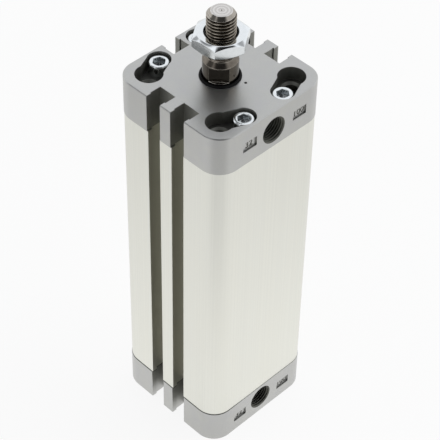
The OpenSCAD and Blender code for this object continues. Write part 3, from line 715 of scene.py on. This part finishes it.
wrapped = add(thread, "ShaderNodeCombineXYZ", {0: x, 1: y, 2: z})
to_metres = add(thread, "ShaderNodeVectorMath", {0: wrapped, "Scale": MM}, operation="SCALE")
tube = add(thread, "GeometryNodeSetPosition", {"Geometry": flat_grid, "Position": to_metres})
closed = add(thread, "GeometryNodeMergeByDistance", {"Geometry": tube, "Distance": 1e-6})
real = add(thread, "GeometryNodeRealizeInstances", {"Geometry": closed})
painted = add(thread, "GeometryNodeSetMaterial", {"Geometry": real, "Material": given["Material"]})
add(thread, "NodeGroupOutput", {"Mesh": painted})
print("thread tree:", len(thread.nodes), "nodes")

# %% [markdown]
# ## Turned shapes
# The rest of the rod, the nut and the screws are turned or pressed round an axis. `turn_up` stacks
# rings of points: each row gives a radius, which may change with the angle, and a level. Spanner
# flats, a hexagon and a hexagon socket are then only radii that change with the angle.


# %% Rings of points into a solid
def turn_up(name, angles, rows, closed_loop=False):
    """rows: (radius, level) in mm, each a number or a function of the angle. Radius 0 is a pole."""
    mesh = bmesh.new()
    rings = []
    for radius, level in rows:
        if radius == 0:
            rings.append([mesh.verts.new((0, 0, level * MM))])
            continue
        ring = []
        for a in angles:
            r = radius(a) if callable(radius) else radius
            h = level(a) if callable(level) else level
            ring.append(mesh.verts.new((r * math.cos(a) * MM, r * math.sin(a) * MM, h * MM)))
        rings.append(ring)
    count = len(angles)
    pairs = list(zip(rings, rings[1:])) + ([(rings[-1], rings[0])] if closed_loop else [])
    for low, high in pairs:
        for i in range(count):
            j = (i + 1) % count
            if len(low) == 1:
                mesh.faces.new((low[0], high[j], high[i]))
            elif len(high) == 1:
                mesh.faces.new((low[i], low[j], high[0]))
            else:
                mesh.faces.new((low[i], low[j], high[j], high[i]))
    data = bpy.data.meshes.new(name)
    mesh.to_mesh(data)
    mesh.free()
    piece = bpy.data.objects.new(name, data)
    bpy.context.collection.objects.link(piece)
    return piece


def weld(piece, *others):
    """Joins other meshes into piece, closes their seams and points all faces outwards."""
    mesh = bmesh.new()
    for part in (piece, *others):
        mesh.from_mesh(part.data)
    bmesh.ops.remove_doubles(mesh, verts=mesh.verts, dist=2e-6)
    bmesh.ops.recalc_face_normals(mesh, faces=mesh.faces)
    open_edges = sum(1 for e in mesh.edges if not e.is_manifold)
    mesh.to_mesh(piece.data)
    mesh.free()
    for part in others:
        bpy.data.objects.remove(part)
    piece.data.shade_smooth()
    piece.data.set_sharp_from_angle(angle=math.radians(32))
    print(f"{piece.name}: {open_edges} open edges")
    return piece


def mark_painted_shade(piece, amount, is_inside):
    """Stores how much painted shade each point holds: amount where the test says so, else nothing."""
    marks = piece.data.attributes.new("recess", "FLOAT", "POINT")
    for point, mark in zip(piece.data.vertices, marks.data):
        mark.value = amount if is_inside(point.co.xy.length / MM, point.co.z / MM) else 0.0


def soften(rows, radius_mm, steps=2):
    """Rounds each corner of a plain profile, given as (radius, level) pairs, with a small arc."""
    out = [rows[0]]
    for before, corner, after in zip(rows, rows[1:], rows[2:]):
        a, c, b = Vector(before), Vector(corner), Vector(after)
        reach = min(radius_mm, (a - c).length * 0.4, (b - c).length * 0.4)
        first, last = c + (a - c).normalized() * reach, c + (b - c).normalized() * reach
        for k in range(steps + 1):
            t = k / steps
            out.append(tuple(first * (1 - t) ** 2 + c * 2 * t * (1 - t) + last * t ** 2))
    return out + [rows[-1]]


# %% [markdown]
# ## Piston rod
# From its tail in the piston to the shoulder the rod is a ground bar. Two spanner flats are milled
# under the shoulder, a groove is turned under the thread, and the end is faced, which leaves rings
# and a small centre drilling.

# %% The rod's body and its flats
FLAT_ANGLE = math.radians(40)
ROUND = 144
STEP = 2 * math.pi / ROUND
around = [FLAT_ANGLE + (i + 0.5) * STEP for i in range(ROUND)]
FLAT_TOP = SHOULDER - (SHOULDER_RISE - FLAT_LENGTH) / 4
FLAT_FOOT = FLAT_TOP - FLAT_LENGTH
TAIL_R = 4.0
SEAT = 29.6


def flatted(angle, half_flats=5.0):
    return min(ROD_R, half_flats / max(abs(math.cos(angle - FLAT_ANGLE)), 1e-6))


def flat_start(angle):
    return flatted(angle, 5.12)


lower = soften([
    (0, ROD_FOOT), (TAIL_R - 0.5, ROD_FOOT), (TAIL_R, ROD_FOOT + 0.5), (TAIL_R, SEAT),
    (ROD_R, SEAT), (ROD_R, SEAT + 4),
], 0.15)[:-1]
shank = [(ROD_R, SEAT + 4 + k * (FLAT_FOOT - SEAT - 5) / 6) for k in range(7)]
flats = [
    (ROD_R, FLAT_FOOT), (flat_start, FLAT_FOOT + 0.01), (flatted, FLAT_FOOT + 0.12),
    (flatted, FLAT_TOP - 0.12), (flat_start, FLAT_TOP - 0.01), (ROD_R, FLAT_TOP),
]
neck = soften([
    (ROD_R, FLAT_TOP + 0.02), (ROD_R, SHOULDER), (RELIEF_R, SHOULDER + ROD_R - RELIEF_R),
    (RELIEF_R, THREAD_FOOT),
], 0.12)
rod = turn_up("piston_rod_turned", around, [*lower, *shank, *flats, *neck])

# %% The rod's thread and its faced end
TIP_R = 3.45
RING_STEP = 0.27
rod_thread = grow("rod_thread", thread, {
    "Crest Radius": THREAD_CREST, "Thread Depth": THREAD_DEPTH, "Pitch": THREAD_PITCH,
    "Length": ROD_TOP - THREAD_FOOT, "Foot Radius": RELIEF_R, "Tip Radius": TIP_R,
    "Tip Bevel": TIP_BEVEL, "Run Out": 0.9, "Round": ROUND, "Rows": 260,
    "First Angle": around[0], "Foot Level": THREAD_FOOT, "Start Turn": 0.456,
    "Material": stainless,
})
facing_rings = []
for k in range(11):
    ring_r = TIP_R - 0.12 - k * RING_STEP
    facing_rings += [(ring_r, ROD_TOP - 0.012), (ring_r - RING_STEP / 2, ROD_TOP - 0.05)]
end_face = turn_up("rod_end_face", around, [
    (TIP_R, ROD_TOP), *facing_rings, (0.34, ROD_TOP - 0.05), (0.12, ROD_TOP - 0.3), (0, ROD_TOP - 0.32),
])
weld(rod, rod_thread, end_face)
show(rod, "rod", stainless, "rod_steel", "piston_rod")

# %% [markdown]
# ## Lock nut
# A pressed hexagon nut: both faces are bevelled to a circle, so that each side ends in a curved edge
# at its corners. On a cone that curve needs no cutting: at each angle the side simply starts where
# the cone has reached the hexagon.

# %% The nut
NUT_HALF = 8.5
NUT_FACE_R = 0.92 * NUT_HALF
NUT_ANGLE = math.radians(34)
NUT_LOW, NUT_TOP = nut_low.z / MM, nut_high.z / MM
sector = [
    0, 0.35, 0.8, 1.4, 2.5, 5, 8, 12, 16, 20, 25, 30, 35, 40, 44, 48, 52, 55, 57.5, 58.6, 59.2, 59.65,
]
nut_angles = [NUT_ANGLE + math.radians(60 * k + s) for k in range(6) for s in sector]


def hexagon(angle, half, start, corner_cut=0.12):
    off = (angle - start) % (math.pi / 3) - math.pi / 6
    corner_r = half / math.cos(math.pi / 6)
    return min(half / math.cos(off), corner_r - corner_cut * (1 - abs(off) / (math.pi / 6)))


def nut_side(angle, inset=0.0):
    return hexagon(angle, NUT_HALF - inset, NUT_ANGLE, 0.06)


def bevel_drop(angle, inset=0.0):
    return max(nut_side(angle, inset) - NUT_FACE_R, 0) * math.tan(math.radians(30))


def nut_rows(level, out):
    """One face of the nut, from its thread to its sides. out is 1 for the upper face, -1 for the lower."""
    return [
        (4.95, level - 0.85 * out), (5.05, level - 0.72 * out), (5.68, level - 0.06 * out),
        (5.8, level), (5.9, level), (NUT_FACE_R - 0.3, level), (NUT_FACE_R - 0.2, level),
        (NUT_FACE_R, level - 0.04 * out), (NUT_FACE_R + 0.2, level - 0.14 * out),
        (lambda a: nut_side(a) - 0.14, lambda a: level - out * (bevel_drop(a) - 0.07)),
        (lambda a: nut_side(a) - 0.03, lambda a: level - out * (bevel_drop(a) + 0.01)),
        (nut_side, lambda a: level - out * (bevel_drop(a) + 0.12)),
        (nut_side, lambda a: level - out * (bevel_drop(a) + 0.18)),
    ]


rows = nut_rows(NUT_TOP, 1) + nut_rows(NUT_LOW, -1)[::-1]
nut = weld(turn_up("lock_nut_bevelled", nut_angles, rows, closed_loop=True))
# Painted shade in the nut's countersink.
mark_painted_shade(nut, 0.97, lambda r, z: r < 5.7)
show(nut, "lock_nut", zinc, "zinc_steel", "rod_nut")

# %% [markdown]
# ## Cover screws
# Eight equal socket screws hold the covers. One is modelled, with its bevelled head and hexagon
# socket. A small node tree sets a copy on each corner of a grid, turns each by a small angle from a
# fixed seed, as screws end up when they are tightened, and flips them for the end cover.

# %% One socket screw
HEAD_R, HEAD_H, SCREW_R = 3.5, 4.1, 2.5
SOCKET_HALF, SOCKET_DEPTH = 2.0, 2.4
socket_sector = (0, 1.5, 4, 10, 20, 30, 40, 50, 56, 58.5)
screw_angles = [math.radians(60 * k + s) for k in range(6) for s in socket_sector]


def socket_wall(angle):
    return hexagon(angle, SOCKET_HALF, 0, 0.02)


def make_screw(name, shank):
    outer = soften([
        (0, -shank), (SCREW_R - 0.6, -shank), (SCREW_R, 0.6 - shank), (SCREW_R, 0), (HEAD_R, 0),
        (HEAD_R, HEAD_H - 0.35), (HEAD_R - 0.35, HEAD_H), (HEAD_R - 0.8, HEAD_H),
    ], 0.1)
    recess = [
        (2.55, HEAD_H), (lambda a: max(socket_wall(a), 2.2) + 0.05, HEAD_H - 0.03),
        (lambda a: max(socket_wall(a), 2.08), HEAD_H - 0.1), (socket_wall, HEAD_H - 0.15),
        (socket_wall, HEAD_H - SOCKET_DEPTH),
        (lambda a: socket_wall(a) * 0.93, HEAD_H - SOCKET_DEPTH - 0.05),
        (0, HEAD_H - SOCKET_DEPTH - 0.75),
    ]
    screw = weld(turn_up(name, screw_angles, [*outer, *recess]))
    # Painted shade, lighter, in the screws' hexagon sockets.
    mark_painted_shade(screw, 0.38, lambda r, z: r < 2.4 and z < HEAD_H - 0.13)
    return screw


# %% The tree that places them
placing = bpy.data.node_groups.new("screw_places", "GeometryNodeTree")
placing.is_modifier = True
for name, kind in (
    ("Screw", "NodeSocketObject"), ("Spacing X", "NodeSocketFloat"), ("Spacing Y", "NodeSocketFloat"),
    ("Level", "NodeSocketFloat"), ("Flip", "NodeSocketFloat"), ("Socket Angle", "NodeSocketFloat"),
    ("Spread", "NodeSocketFloat"), ("Seed", "NodeSocketInt"), ("Material", "NodeSocketMaterial"),
):
    placing.interface.new_socket(name, in_out="INPUT", socket_type=kind)
placing.interface.new_socket("Mesh", in_out="OUTPUT", socket_type="NodeSocketGeometry")
chosen = add(placing, "NodeGroupInput").outputs
corners = add(placing, "GeometryNodeMeshGrid", {
    "Size X": chosen["Spacing X"], "Size Y": chosen["Spacing Y"], "Vertices X": 2, "Vertices Y": 2,
})
lifted = add(placing, "GeometryNodeTransform", {
    "Geometry": corners, "Translation": add(placing, "ShaderNodeCombineXYZ", {2: chosen["Level"]}),
})
chance = add(placing, "FunctionNodeRandomValue", {
    2: add(placing, "ShaderNodeMath", {0: chosen["Spread"], 1: -1.0}, operation="MULTIPLY"),
    3: chosen["Spread"], "Seed": chosen["Seed"],
}, data_type="FLOAT")
socket_turn = add(placing, "ShaderNodeMath", {
    0: chosen["Socket Angle"], 1: chance.outputs[1],
}, operation="ADD")
aim = add(placing, "ShaderNodeCombineXYZ", {0: chosen["Flip"], 2: socket_turn})
screw_shape = add(placing, "GeometryNodeObjectInfo", {"Object": chosen["Screw"]}).outputs["Geometry"]
copies = add(placing, "GeometryNodeInstanceOnPoints", {
    "Points": lifted, "Instance": screw_shape, "Rotation": aim,
})
solid_copies = add(placing, "GeometryNodeRealizeInstances", {"Geometry": copies})
zinc_copies = add(placing, "GeometryNodeSetMaterial", {
    "Geometry": solid_copies, "Material": chosen["Material"],
})
add(placing, "NodeGroupOutput", {"Mesh": zinc_copies})
print("placing tree:", len(placing.nodes), "nodes")

# %% Eight screws
for node_name, piece_name, flipped in (
    ("front_cap_screws", "front_socket_screws", False), ("rear_cap_screws", "rear_socket_screws", True),
):
    low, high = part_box(node_name)
    length = (high.z - low.z) / MM - HEAD_H
    model = make_screw(piece_name + "_model", length)
    level = low.z + HEAD_H * MM if flipped else high.z - HEAD_H * MM
    screws = grow(piece_name, placing, {
        "Screw": model, "Spacing X": high.x - low.x - 2 * HEAD_R * MM,
        "Spacing Y": high.y - low.y - 2 * HEAD_R * MM, "Level": level,
        "Flip": math.pi if flipped else 0.0, "Socket Angle": math.radians(45),
        "Spread": math.radians(6), "Seed": 4, "Material": zinc,
    })
    bpy.data.objects.remove(model)
    show(screws, "housing", zinc, "zinc_steel", node_name)

# %% [markdown]
# ## Port threads
# Each port takes a G1/8 fitting: 28 threads to the inch behind a bevelled mouth. The solid is cut to
# the roots of that thread, so a threaded liner fills the port from its bevel down to its floor. The
# liner is a closed ring, with its outer wall out of sight in the cover.

# %% Two threaded liners
PORT_CREST, PORT_ROOT, PORT_MOUTH, PORT_DEPTH = 4.29, 4.83, 4.97, 7.85
port_angles = [2 * math.pi * i / 120 for i in range(120)]
for piece_name, port_level in (("front_port_thread", BODY_TOP - 8), ("rear_port_thread", 8)):
    bore_thread = grow(piece_name, thread, {
        "Crest Radius": PORT_CREST, "Thread Depth": PORT_CREST - PORT_ROOT, "Pitch": 25.4 / 28,
        "Length": PORT_DEPTH, "Foot Radius": PORT_ROOT, "Tip Radius": PORT_MOUTH,
        "Tip Bevel": PORT_MOUTH - PORT_CREST, "Run Out": 0.5, "Round": len(port_angles), "Rows": 160,
        "Material": shade_grey,
    })
    outer_wall = turn_up("port_wall", port_angles, [
        (PORT_ROOT, 0), (PORT_ROOT + 0.1, 0), (PORT_MOUTH, PORT_DEPTH),
    ])
    weld(bore_thread, outer_wall)
    port_place = Matrix.Translation(Vector((0, PORT_DEPTH - BODY_HALF + 0.02, port_level)) * MM)
    bore_thread.data.transform(port_place @ Matrix.Rotation(math.pi / 2, 4, "X"))
    show(bore_thread, "housing", shade_grey, "covers")

# %% [markdown]
# ## Numbers in the sunk fields
# Die-cast covers carry raised figures in sunk fields beside the ports, so that nothing stands proud
# of the face. Plain sizes stand there: the bore and the stroke.

# %% Raised figures
FIGURE_SIZE, FIGURE_RELIEF, FIGURE_LIFT = 3.4, 0.15, 0.05
NUMBERS = (("32", -10.8), ("100", 11.8))
upright = Matrix.Rotation(math.pi / 2, 4, "X")
for piece_name, level in (("front_cover_figures", BODY_TOP - 7.6), ("rear_cover_figures", 6.9)):
    figures = bpy.data.objects.new(piece_name, bpy.data.meshes.new(piece_name))
    bpy.context.collection.objects.link(figures)
    mesh = bmesh.new()
    for number, centre_x in NUMBERS:
        letters = bpy.data.curves.new("figures", "FONT")
        letters.body = number
        letters.size = FIGURE_SIZE
        letters.align_x = "CENTER"
        letters.align_y = "CENTER"
        letters.extrude = FIGURE_RELIEF
        letters.resolution_u = 3
        writer = bpy.data.objects.new("figures", letters)
        bpy.context.collection.objects.link(writer)
        graph = bpy.context.evaluated_depsgraph_get()
        shape = bpy.data.meshes.new_from_object(writer.evaluated_get(graph))
        centre = (centre_x, FIGURE_LIFT - BODY_HALF + FIELD_DEPTH, level)
        shape.transform(Matrix.Scale(MM, 4) @ Matrix.Translation(centre) @ upright)
        mesh.from_mesh(shape)
        bpy.data.objects.remove(writer)
    bmesh.ops.remove_doubles(mesh, verts=mesh.verts, dist=1e-6)
    bmesh.ops.recalc_face_normals(mesh, faces=mesh.faces)
    mesh.to_mesh(figures.data)
    mesh.free()
    show(figures, "housing", shade_grey, "covers")
